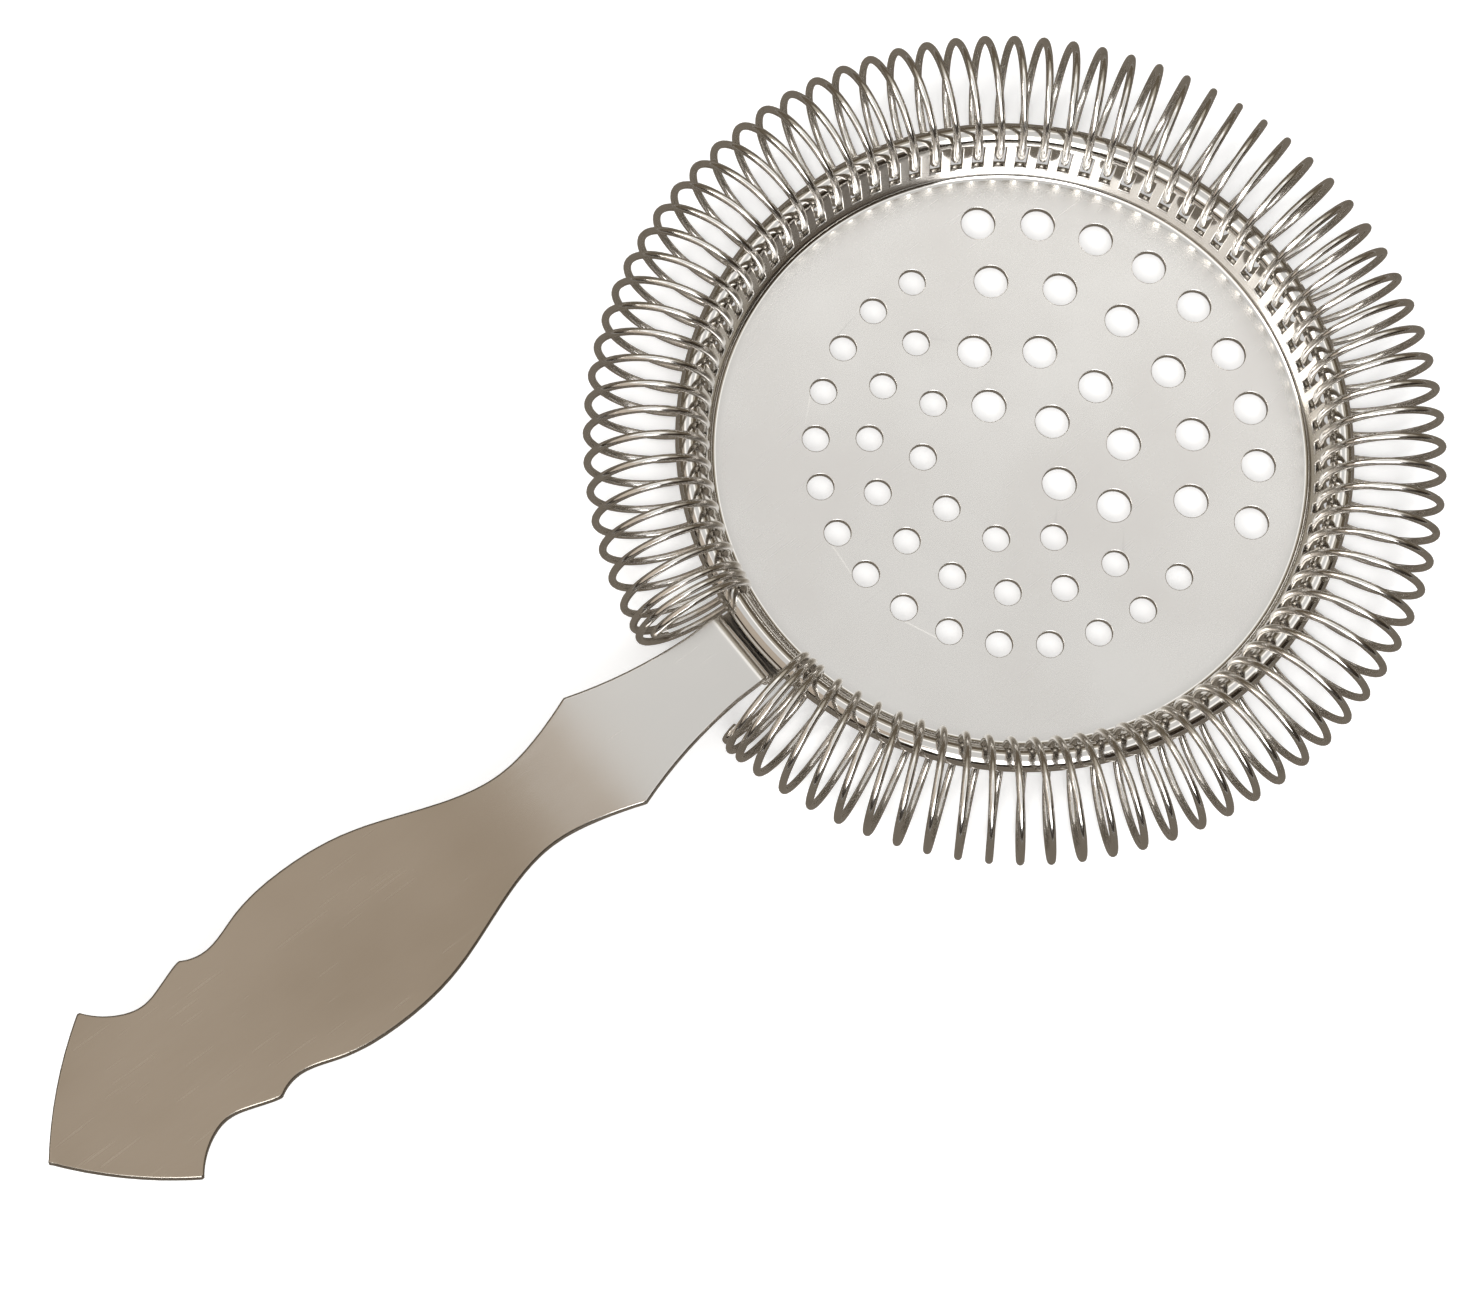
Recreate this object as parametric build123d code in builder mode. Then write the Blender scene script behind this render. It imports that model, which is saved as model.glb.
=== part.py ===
"""Hawthorne strainer: a dished, perforated steel plate with a rolled rim, a flat scalloped
handle welded under the rim, and one long coil spring threaded round the rim.

Frame, in millimetres: +Z is up and +X points away from the handle. The origin is the centre
of the underside of the plate's flat floor. Angles are measured from +X, anticlockwise seen
from above, so the handle lies at 180 degrees.
"""
import os
from math import acos, cos, degrees, pi, radians, sin, sqrt, tan

from build123d import *

# Dished plate, rolled from one sheet
PLATE_SHEET = 1.0
DISH_DEPTH = 5.7            # floor's top face up to the centre of the rolled rim
RIM_RADIUS = 39.9           # centre of the rolled rim's section
RIM_SECTION_RADIUS = 1.45   # outside of the rolled rim's section
RIM_CURL_ANGLE = 268.0      # how far round the sheet is curled, clear of the slots
WALL_SLOPE = 16.0           # lean of the dish's wall from upright
FLOOR_BEND_RADIUS = 1.3     # sheet's centreline, where the wall meets the floor
HOLE_EDGE_RADIUS = 0.3

# Drain holes: (radius of the arc, number of holes, degrees between holes)
LARGE_HOLE_RADIUS = 2.1
LARGE_HOLE_ARCS = [(6.9, 3, 71.0), (14.1, 5, 33.4), (22.8, 6, 21.8), (30.6, 9, 14.0)]
SMALL_HOLE_RADIUS = 1.65
SMALL_HOLE_ARCS = [(12.0, 5, 34.4), (18.5, 9, 21.9), (25.1, 15, 14.2)]
SMALL_HOLE_SHIFT = 1.5      # the small arcs' centre, away from the handle
HOLE_PATTERN_TURN = 2.0     # the pattern sits a little off the handle's line

# Coil spring
WIRE_DIAMETER = 0.95
COIL_RADIUS = 7.2           # wire's centreline, round one turn
WIRE_RIM_CLEARANCE = 0.325  # between the wire and the rim, at the turns' innermost points
HANDLE_GAP = 17.4           # degrees left free of the spring at the handle
REGULAR_TURNS = 82
BUNCHED_TURNS = 2           # close turns at each end of the spring
BUNCHED_PITCH = 1.7         # degrees
ARC_TURNS = 4               # whole turns in one arc of the spring
END_ARC_REGULAR_TURNS = 3
ARC_JOINT_GAP = 0.1         # between one arc's wire and the next
TAIL_TURN = 0.4             # wire beyond the last whole turn, as part of a turn
HOOK_RADIUS = 1.3           # the wire's end, curled back on itself
HOOK_ANGLE = 150.0
POINTS_PER_TURN = 16

# Slots that the wire passes through, in the dish's wall
SLOT_SIDE_CLEARANCE = 0.25
SLOT_END_CLEARANCE = 0.3
SLOT_PUNCH_MARGIN = 0.2     # how far the punch passes the wall's faces

# Handle, stamped from a flat strip. Stations are distances from the origin.
HANDLE_SHEET = 1.5
HANDLE_RISE = 0.3           # neck's centreline above the centre of the rolled rim
HANDLE_SLOPE = 3.0          # the grip rises towards its tip
HANDLE_BEND_STATION = 70.0
HANDLE_BEND_RADIUS = 90.0
NECK_HALF_WIDTH = 4.95
NECK_BEND_RADIUS = 1.25     # sheet's centreline, at both bends of the step under the rim
RIM_CLEARANCE = 0.3         # between the rolled rim and the handle's step and tongue
WALL_CLEARANCE = 0.05       # between the tongue's end and the dish's wall
TIP_STATION = 143.4
WELD_LEG = 1.2
WELD_SHARE = 0.85           # seam's length as a share of the neck's width

# Places that follow from the sizes above
rim_height = PLATE_SHEET + DISH_DEPTH
rim_curl_radius = RIM_SECTION_RADIUS - PLATE_SHEET / 2
wall_top_radius = RIM_RADIUS - rim_curl_radius * cos(radians(WALL_SLOPE))
wall_top_height = rim_height + rim_curl_radius * sin(radians(WALL_SLOPE))
# Centre of the turns, round the plate: each turn hangs just inside the rim
spring_radius = (RIM_RADIUS - RIM_SECTION_RADIUS - WIRE_RIM_CLEARANCE - WIRE_DIAMETER / 2
                 + COIL_RADIUS)
spring_start = 180.0 - HANDLE_GAP / 2
spring_span = 360.0 - HANDLE_GAP
total_turns = REGULAR_TURNS + 2 * BUNCHED_TURNS
regular_pitch = (spring_span - 2 * BUNCHED_TURNS * BUNCHED_PITCH) / REGULAR_TURNS


def wall_radius(height, offset=0.0):
    """Radius of the dish's wall at a height, offset outwards from the sheet's centre."""
    slope = radians(WALL_SLOPE)
    return wall_top_radius - (wall_top_height - height) * tan(slope) + offset / cos(slope)


def bunched_and_regular(turn):
    """Degrees of the ring taken up by the spring from its start to this turn."""
    first = min(turn, BUNCHED_TURNS)
    last = max(turn - BUNCHED_TURNS - REGULAR_TURNS, 0.0)
    middle = turn - first - last
    return (first + last) * BUNCHED_PITCH + middle * regular_pitch


def ring_point(radius, height, angle):
    return Vector(radius * cos(radians(angle)), radius * sin(radians(angle)), height)


def radial_plane(angle):
    """Upright plane through the Z axis: its X runs outwards and its Y runs up."""
    return Plane(origin=(0, 0, 0), x_dir=ring_point(1, 0, angle), z_dir=ring_point(1, 0, angle - 90))


def coil_point(turn):
    """Wire's centreline. Whole turns are the points nearest the plate's centre."""
    around = 2 * pi * turn
    radius = spring_radius - COIL_RADIUS * cos(around)
    height = rim_height - COIL_RADIUS * sin(around)
    return ring_point(radius, height, spring_start - bunched_and_regular(turn))


def hook_points(end_turn, way):
    """The wire's end, curled inside its last turn. way is +1 at the spring's end, -1 at its start."""
    around = 2 * pi * end_turn
    start = (-cos(around), -sin(around))
    centre = (spring_radius + (COIL_RADIUS - HOOK_RADIUS) * start[0],
              rim_height + (COIL_RADIUS - HOOK_RADIUS) * start[1])
    steps = 6
    points = []
    for step in range(1, steps + 1):
        swing = around + way * radians(HOOK_ANGLE) * step / steps
        radius = centre[0] - HOOK_RADIUS * cos(swing)
        height = centre[1] - HOOK_RADIUS * sin(swing)
        drift = way * step / steps * HOOK_RADIUS / COIL_RADIUS
        points.append(ring_point(radius, height, spring_start - bunched_and_regular(end_turn + drift)))
    return points


def spring_arc_points(first_turn, last_turn):
    """Points along one arc's wire, with its end hook where the arc ends the spring."""
    gap = ARC_JOINT_GAP / 2 / (2 * pi * COIL_RADIUS)
    starts_spring = first_turn == 0
    ends_spring = last_turn == total_turns
    first = -TAIL_TURN if starts_spring else first_turn + gap
    last = total_turns + TAIL_TURN if ends_spring else last_turn - gap
    steps = round((last - first) * POINTS_PER_TURN)
    points = [coil_point(first + (last - first) * step / steps) for step in range(steps + 1)]
    if starts_spring:
        points = hook_points(first, -1)[::-1] + points
    if ends_spring:
        points = points + hook_points(last, +1)
    return points


def arc_limits():
    """First and last turn of each arc of the spring."""
    limits = [0, BUNCHED_TURNS + END_ARC_REGULAR_TURNS]
    while limits[-1] + ARC_TURNS <= total_turns - limits[1]:
        limits.append(limits[-1] + ARC_TURNS)
    limits[-1] = total_turns - limits[1]
    limits.append(total_turns)
    return list(zip(limits[:-1], limits[1:]))


# Where the wire crosses the wall's centre, as an angle below the turn's innermost point
slope = radians(WALL_SLOPE)
crossing_reach = spring_radius - wall_top_radius + (wall_top_height - rim_height) * tan(slope)
wire_to_wall = acos(crossing_reach * cos(slope) / COIL_RADIUS)
crossing_angle = wire_to_wall - slope
crossing_turn = crossing_angle / (2 * pi)
crossing_height = rim_height - COIL_RADIUS * sin(crossing_angle)
crossing_radius = spring_radius - COIL_RADIUS * cos(crossing_angle)


def up_the_wall(round_turn, beyond_wall):
    """How far above the wire's crossing a circle round the turn's centre passes one face."""
    centre_away = COIL_RADIUS * cos(wire_to_wall) - beyond_wall
    return COIL_RADIUS * sin(wire_to_wall) - sqrt(round_turn ** 2 - centre_away ** 2)


# A slot runs from where the wire's outer side passes the wall's outer face to where its inner
# side passes the wall's inner face. Straight runs come nearer to the turn's centre than the turn.
run_sag = COIL_RADIUS * (1 - cos(pi / POINTS_PER_TURN))
slot_top = (up_the_wall(COIL_RADIUS - WIRE_DIAMETER / 2 - run_sag, -PLATE_SHEET / 2)
            + SLOT_END_CLEARANCE)
slot_foot = (up_the_wall(COIL_RADIUS + WIRE_DIAMETER / 2, PLATE_SHEET / 2)
             - SLOT_END_CLEARANCE)
slot_length = slot_top - slot_foot
slot_middle = (slot_top + slot_foot) / 2
slot_width = WIRE_DIAMETER + 2 * SLOT_SIDE_CLEARANCE


def slot_plane(angle):
    """Plane of a slot: its X runs up the wall and its Z is square to the wall."""
    up_wall = ring_point(sin(slope), cos(slope), angle)
    outwards = ring_point(cos(slope), -sin(slope), angle)
    crossing = ring_point(crossing_radius, crossing_height, angle)
    return Plane(origin=crossing + up_wall * slot_middle, x_dir=up_wall, z_dir=outwards)


def crossing_position(turn):
    return spring_start - bunched_and_regular(turn + crossing_turn)


def hole_centres(arcs, towards, shift):
    """Centres of the drain holes on several arcs that all face the same way."""
    centres = []
    for arc_radius, count, spacing in arcs:
        start = towards + HOLE_PATTERN_TURN - spacing * (count - 1) / 2
        for hole in range(count):
            angle = radians(start + spacing * hole)
            centres.append((shift + arc_radius * cos(angle), arc_radius * sin(angle)))
    return centres


# The plate's section, turned about Z
with BuildPart() as strainer_plate:
    with BuildSketch(Plane.XZ):
        with BuildLine():
            bend_corner = (wall_radius(PLATE_SHEET / 2), PLATE_SHEET / 2)
            wall_top = (wall_top_radius, wall_top_height)
            FilletPolyline((0, PLATE_SHEET / 2), bend_corner, wall_top, radius=FLOOR_BEND_RADIUS)
            CenterArc((RIM_RADIUS, rim_height), rim_curl_radius, 180 - WALL_SLOPE, -RIM_CURL_ANGLE)
        trace(line_width=PLATE_SHEET)
    revolve(axis=Axis.Z)

    for hole_radius, centres in (
        (LARGE_HOLE_RADIUS, hole_centres(LARGE_HOLE_ARCS, towards=0.0, shift=0.0)),
        (SMALL_HOLE_RADIUS, hole_centres(SMALL_HOLE_ARCS, towards=180.0, shift=SMALL_HOLE_SHIFT)),
    ):
        with BuildSketch(Plane.XY.offset(PLATE_SHEET)):
            with Locations(*centres):
                Circle(hole_radius)
        extrude(amount=-PLATE_SHEET, mode=Mode.SUBTRACT)
    hole_edges = [edge for edge in strainer_plate.edges().filter_by(GeomType.CIRCLE)
                  if edge.radius in (LARGE_HOLE_RADIUS, SMALL_HOLE_RADIUS)]
    fillet(hole_edges, radius=HOLE_EDGE_RADIUS)

    # A slot for each regular turn, and one wide window for the bunched turns at each end
    regular_crossings = [crossing_position(turn)
                         for turn in range(BUNCHED_TURNS + 1, BUNCHED_TURNS + REGULAR_TURNS)]
    for angle in regular_crossings:
        with BuildSketch(slot_plane(angle)):
            Rectangle(slot_length, slot_width)
    for first, last in ((0, BUNCHED_TURNS), (total_turns - BUNCHED_TURNS, total_turns)):
        side_a, side_b = crossing_position(first), crossing_position(last)
        spread = radians(abs(side_a - side_b)) * crossing_radius
        with BuildSketch(slot_plane((side_a + side_b) / 2)):
            Rectangle(slot_length, spread + slot_width)
    extrude(amount=PLATE_SHEET / 2 + SLOT_PUNCH_MARGIN, both=True, mode=Mode.SUBTRACT)
strainer_plate.part.label = "strainer_plate"

# Handle: the side view of the bent strip, cut to the stamped outline
neck_height = rim_height + HANDLE_RISE
tongue_height = rim_height - RIM_SECTION_RADIUS - RIM_CLEARANCE - HANDLE_SHEET / 2
step_station = RIM_RADIUS + RIM_SECTION_RADIUS + RIM_CLEARANCE + HANDLE_SHEET / 2
tip_height = neck_height + (TIP_STATION - HANDLE_BEND_STATION) * tan(radians(HANDLE_SLOPE))
shoulder, waist, belly = (63.3, 8.05), (75.0, 5.3), (102.5, 11.45)
barb, hollow, corner = (118.0, 10.0), (124.4, 8.25), (130.6, 12.1)

with BuildPart() as handle:
    with BuildSketch(Plane.XZ):
        with BuildLine():
            FilletPolyline(
                (-TIP_STATION - HANDLE_SHEET, tip_height + HANDLE_SHEET * tan(radians(HANDLE_SLOPE))),
                (-HANDLE_BEND_STATION, neck_height),
                (-step_station, neck_height),
                (-step_station, tongue_height),
                (-RIM_RADIUS + 4 * RIM_SECTION_RADIUS, tongue_height),
                radius=[HANDLE_BEND_RADIUS, NECK_BEND_RADIUS, NECK_BEND_RADIUS],
            )
        trace(line_width=HANDLE_SHEET)
    extrude(amount=belly[1] * 2, both=True)
    with BuildSketch(Plane(origin=(0, 0, 0), x_dir=(-1, 0, 0), z_dir=(0, 0, 1))):
        with BuildLine():
            Line((0, 0), (0, NECK_HALF_WIDTH))
            Line((0, NECK_HALF_WIDTH), (47, NECK_HALF_WIDTH))
            ThreePointArc((47, NECK_HALF_WIDTH), (56.5, 6.2), shoulder)
            Spline(shoulder, (69.0, 6.2), waist, (84.5, 7.4), (94.0, 10.6), belly,
                   (110.0, 10.4), (114.6, 9.1), barb)
            Spline(barb, (121.3, 8.95), hollow, (127.6, 9.3), corner)
            ThreePointArc(corner, (137.8, 6.3), (TIP_STATION, 0))
            Line((TIP_STATION, 0), (0, 0))
        make_face()
        mirror(about=Plane.XZ)
    extrude(amount=4 * rim_height, both=True, mode=Mode.INTERSECT)
    with BuildSketch(Plane.XZ):
        with BuildLine():
            reach = PLATE_SHEET / 2 + WALL_CLEARANCE
            top = tongue_height + HANDLE_SHEET
            Polyline((0, 0), (wall_radius(0, reach), 0), (wall_radius(top, reach), top), (0, top), close=True)
        make_face()
    revolve(axis=Axis.Z, mode=Mode.SUBTRACT)
handle.part.label = "handle"

# The seam under the tongue, along the dish's wall
weld_top = tongue_height - HANDLE_SHEET / 2
weld_half_angle = degrees(NECK_HALF_WIDTH * WELD_SHARE / RIM_RADIUS)
with BuildPart() as handle_weld:
    with BuildSketch(radial_plane(180.0 - weld_half_angle)):
        with BuildLine():
            wall_face = PLATE_SHEET / 2
            Polyline(
                (wall_radius(weld_top, wall_face), weld_top),
                (wall_radius(weld_top, wall_face) + WELD_LEG, weld_top),
                (wall_radius(weld_top - WELD_LEG, wall_face), weld_top - WELD_LEG),
                close=True,
            )
        make_face()
    revolve(axis=Axis.Z, revolution_arc=2 * weld_half_angle)
handle_weld.part.label = "handle_weld"

# The spring: one wire, held here as arcs that can each be pressed in towards the rim
spring_arcs = []
for number, (first_turn, last_turn) in enumerate(arc_limits(), start=1):
    with BuildPart() as spring_arc:
        with BuildLine() as wire:
            Polyline(*spring_arc_points(first_turn, last_turn))
        with BuildSketch(Plane(origin=wire.line @ 0, z_dir=wire.line % 0)):
            Circle(WIRE_DIAMETER / 2)
        sweep(transition=Transition.RIGHT)
    spring_arc.part.label = f"spring_arc_{number:02d}"
    spring_arcs.append(spring_arc.part)

os.makedirs("parts", exist_ok=True)
for piece in [strainer_plate.part, handle.part, handle_weld.part, *spring_arcs]:
    export_step(piece, f"parts/{piece.label}.step")
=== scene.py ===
# %% [markdown]
# # A hawthorne strainer
# This bartender's strainer is three steel parts and a weld: a dished plate full of drain holes,
# a stamped handle, and one long coil spring threaded round the plate's rolled rim. The spring
# presses into the mouth of a shaker tin, so it is the only thing that moves.
#
# The engineering model comes in first, as a fixed frame. It says where each part is and which
# body it moves with. The pieces that we make here replace its plain solids, one by one.

# %% Load the frame
from math import acos, cos, pi, radians, sin, sqrt, tan

import bmesh
import bpy
from mathutils import Matrix, Vector


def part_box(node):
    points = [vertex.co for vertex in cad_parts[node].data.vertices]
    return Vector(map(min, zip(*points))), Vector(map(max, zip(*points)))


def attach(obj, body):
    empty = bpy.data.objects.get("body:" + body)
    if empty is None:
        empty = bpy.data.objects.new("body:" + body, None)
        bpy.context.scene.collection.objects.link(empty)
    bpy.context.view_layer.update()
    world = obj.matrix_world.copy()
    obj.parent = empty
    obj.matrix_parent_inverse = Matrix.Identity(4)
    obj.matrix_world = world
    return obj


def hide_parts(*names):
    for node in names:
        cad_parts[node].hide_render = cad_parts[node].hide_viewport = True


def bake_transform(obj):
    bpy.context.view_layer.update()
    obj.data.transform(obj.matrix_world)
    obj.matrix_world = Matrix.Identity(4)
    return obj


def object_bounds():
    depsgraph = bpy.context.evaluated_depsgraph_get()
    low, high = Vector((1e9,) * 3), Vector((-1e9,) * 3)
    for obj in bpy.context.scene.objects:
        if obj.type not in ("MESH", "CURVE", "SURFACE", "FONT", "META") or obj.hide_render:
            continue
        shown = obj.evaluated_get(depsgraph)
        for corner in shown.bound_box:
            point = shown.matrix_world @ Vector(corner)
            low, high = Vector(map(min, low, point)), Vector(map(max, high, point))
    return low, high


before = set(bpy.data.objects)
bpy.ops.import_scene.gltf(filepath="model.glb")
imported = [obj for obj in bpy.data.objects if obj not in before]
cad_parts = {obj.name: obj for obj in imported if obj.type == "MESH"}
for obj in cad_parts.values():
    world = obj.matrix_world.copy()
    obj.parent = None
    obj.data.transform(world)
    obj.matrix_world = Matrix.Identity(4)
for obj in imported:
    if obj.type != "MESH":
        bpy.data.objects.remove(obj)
cad_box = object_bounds()
MM = 0.001

dish_low, dish_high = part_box("strainer_plate")
handle_low, handle_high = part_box("handle")
arc_names = sorted(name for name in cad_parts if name.startswith("spring_arc_"))
print("object, in mm:", [round((high - low) / MM, 1) for low, high in zip(*cad_box)])
print("arcs of the spring:", len(arc_names))

# %% [markdown]
# ## Sizes
# What can be read from the frame is read from it. The rest are the sizes that a toolmaker would
# put on the drawing, in metres. The spring's place along its coil is counted in turns: a whole
# number of turns is a point where the wire is nearest the plate's centre.

# %% Sizes of the plate and its holes
SHEET = 1.0 * MM
RIM_SECTION = 1.45 * MM                      # radius of the rolled rim's section
RIM_RADIUS = dish_high.x - RIM_SECTION
RIM_HEIGHT = dish_high.z - RIM_SECTION
RIM_CURL = radians(268)
WALL_SLOPE = radians(16)
FLOOR_BEND = 1.3 * MM

LARGE_HOLE = 2.1 * MM
LARGE_ARCS = [(6.9, 3, 71.0), (14.1, 5, 33.4), (22.8, 6, 21.8), (30.6, 9, 14.0)]
SMALL_HOLE = 1.65 * MM
SMALL_ARCS = [(12.0, 5, 34.4), (18.5, 9, 21.9), (25.1, 15, 14.2)]
SMALL_ARCS_SHIFT = 1.5 * MM
HOLE_TURN = 2.0

# %% Sizes of the spring
WIRE_RADIUS = 0.475 * MM
COIL_RADIUS = 7.2 * MM
SPRING_RADIUS = 44.85 * MM
SPRING_START = 171.3                         # degrees, at the handle's left
REGULAR_TURNS, BUNCHED_TURNS = 82, 2
BUNCHED_PITCH = 1.7                          # degrees
SPRING_SPAN = 2 * SPRING_START
REGULAR_PITCH = (SPRING_SPAN - 2 * BUNCHED_TURNS * BUNCHED_PITCH) / REGULAR_TURNS
TOTAL_TURNS = REGULAR_TURNS + 2 * BUNCHED_TURNS
TAIL_TURN = 0.4
HOOK_RADIUS = 1.3 * MM
HOOK_TURN = HOOK_RADIUS / COIL_RADIUS * 150 / 360
ARC_TURNS, END_ARC_TURNS = 4, 5


def degrees_taken(turn):
    """How many degrees of the ring the spring takes up from its start to this turn."""
    bunched = min(turn, BUNCHED_TURNS) + max(turn - BUNCHED_TURNS - REGULAR_TURNS, 0)
    return bunched * BUNCHED_PITCH + (turn - bunched) * REGULAR_PITCH


print("regular turns every", round(REGULAR_PITCH, 3), "degrees")

# %% [markdown]
# ## Arithmetic on nodes
# Node trees are easier to read as sums than as wiring. `Field` wraps one output socket. Adding or
# multiplying two of them adds a Math node to their tree, and the result is a new `Field`. Every
# other node comes from `Nodes.add`, which sets its options first and then fills its inputs.

# %% One small class for sums, and one for nodes


class Field:
    """An output socket that takes part in Python arithmetic."""

    def __init__(self, nodes, socket):
        self.nodes, self.socket = nodes, socket

    def maths(self, operation, *others):
        inputs = dict(enumerate([self, *others]))
        return self.nodes.add("ShaderNodeMath", inputs, operation=operation)

    def __add__(self, other):
        return self.maths("ADD", other)

    def __sub__(self, other):
        return self.maths("SUBTRACT", other)

    def __mul__(self, other):
        return self.maths("MULTIPLY", other)

    def __truediv__(self, other):
        return self.maths("DIVIDE", other)

    def __rsub__(self, other):
        return self.maths("MULTIPLY", -1.0) + other

    __radd__ = __add__
    __rmul__ = __mul__

    def output(self, name):
        """Another output of the same node."""
        return Field(self.nodes, self.socket.node.outputs[name])

    def between(self, low, high):
        """0 below low, 1 above high, and a smooth step in between."""
        inputs = {"Value": self, "From Min": low, "From Max": high}
        return self.nodes.add("ShaderNodeMapRange", inputs, interpolation_type="SMOOTHSTEP")


class Nodes:
    """Adds nodes to one tree."""

    def __init__(self, tree):
        self.tree = tree

    def add(self, kind, inputs=None, output=0, stops=None, **settings):
        node = self.tree.nodes.new(kind)
        for name, value in settings.items():
            setattr(node, name, value)
        if stops:
            ramp = node.color_ramp
            while len(ramp.elements) < len(stops):
                ramp.elements.new(0.5)
            for element, (position, colour) in zip(ramp.elements, stops):
                element.position, element.color = position, (*colour, 1.0)
        for name, value in (inputs or {}).items():
            for one in value if isinstance(value, list) else [value]:
                if isinstance(one, Field):
                    self.tree.links.new(one.socket, node.inputs[name])
                else:
                    node.inputs[name].default_value = one
        return Field(self, node.outputs[output])


def new_geometry_tree(name, inputs):
    """A Geometry Nodes tree with named inputs, and those inputs as fields."""
    tree = bpy.data.node_groups.new(name, "GeometryNodeTree")
    for label, kind in inputs.items():
        tree.interface.new_socket(label, in_out="INPUT", socket_type="NodeSocket" + kind)
    tree.interface.new_socket("Geometry", in_out="OUTPUT", socket_type="NodeSocketGeometry")
    nodes = Nodes(tree)
    group = tree.nodes.new("NodeGroupInput")
    return nodes, {label: Field(nodes, group.outputs[label]) for label in inputs}


def end_tree(nodes, geometry, finish):
    """Every tree ends in real geometry with its finish on it."""
    real = nodes.add("GeometryNodeRealizeInstances", {"Geometry": geometry})
    done = nodes.add("GeometryNodeSetMaterial", {"Geometry": real, "Material": finish})
    output = nodes.tree.nodes.new("NodeGroupOutput")
    nodes.tree.links.new(done.socket, output.inputs[0])


def set_inputs(modifier, values):
    """A modifier's inputs go by their sockets' identifiers."""
    for item in modifier.node_group.interface.items_tree:
        if item.in_out == "INPUT":
            modifier[item.identifier] = values[item.name]


def new_piece(name, mesh):
    piece = bpy.data.objects.new(name, mesh)
    bpy.context.scene.collection.objects.link(piece)
    return piece


def applied(piece):
    """The piece's mesh with its modifiers worked into it, and the modifiers gone."""
    depsgraph = bpy.context.evaluated_depsgraph_get()
    plain = bpy.data.meshes.new_from_object(piece.evaluated_get(depsgraph))
    piece.modifiers.clear()
    piece.data = plain
    plain.name = piece.name
    return piece


def made_by(nodes, name, values):
    """A new piece with the plain mesh that a tree makes from these values."""
    piece = new_piece(name, bpy.data.meshes.new(name))
    modifier = piece.modifiers.new(name, "NODES")
    modifier.node_group = nodes.tree
    set_inputs(modifier, values)
    applied(piece)
    print(name, len(piece.data.polygons), "faces")
    return piece


# %% [markdown]
# ## Finishes
# The whole tool is stainless steel, but each part leaves the workshop differently. The plate's
# floor is satin, and its rim is polished by the rolling. The handle is linished along its length
# and its stamped edges are tumbled bright. The spring's wire is drawn, so its faint lines follow
# the wire. Metal has no colour of its own beyond a slight warmth: most of its look is roughness,
# and how that changes over the surface. Only the handle's grip differs: its darker, warmer colour
# is a painted reflection of the dark side of the room.

# %% Shared parts of the steel finishes
STEEL = (0.75, 0.73, 0.70)
SATIN_STEEL, CLOUDED_STEEL = (0.80, 0.785, 0.76), (0.735, 0.715, 0.69)
DULL_STEEL = (0.55, 0.52, 0.48)
BRIGHT_STEEL = (0.84, 0.82, 0.79)


def new_finish(name):
    material = bpy.data.materials.new(name)
    material.use_nodes = True
    material.node_tree.nodes.clear()
    return material, Nodes(material.node_tree)


def end_finish(nodes, colour, roughness, height, bump_strength, bump_distance):
    """The steel shader, with a bump of this height."""
    bump = nodes.add("ShaderNodeBump", {
        "Strength": bump_strength, "Distance": bump_distance, "Height": height})
    shader = nodes.add("ShaderNodeBsdfPrincipled", {
        "Metallic": 1.0, "Base Color": colour, "Roughness": roughness, "Normal": bump})
    output = nodes.tree.nodes.new("ShaderNodeOutputMaterial")
    nodes.tree.links.new(shader.socket, output.inputs["Surface"])


def place_on_object(nodes):
    return nodes.add("ShaderNodeTexCoord", output="Object")


def noise(nodes, place, per_metre, detail=3.0, roughness=0.55):
    return nodes.add("ShaderNodeTexNoise", {
        "Vector": place, "Scale": per_metre, "Detail": detail, "Roughness": roughness})


def stretched(nodes, place, scale, turn=(0.0, 0.0, 0.0)):
    return nodes.add("ShaderNodeMapping", {"Vector": place, "Scale": scale, "Rotation": turn})


def scratches(nodes, place, turn, per_metre):
    """Hairline scratches one way: 1 on a scratch and 0 elsewhere."""
    lines = stretched(nodes, place, (1.0, 26.0, 1.0), (0.0, 0.0, radians(turn)))
    return noise(nodes, lines, per_metre, detail=1.0).between(0.70, 0.76)


def mixed(nodes, factor, first, second):
    return nodes.add("ShaderNodeMix", {"Factor": factor, 6: rgb(first), 7: rgb(second)},
                     output=2, data_type="RGBA")


def rgb(colour):
    return (*colour, 1.0) if isinstance(colour, tuple) else colour


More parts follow.
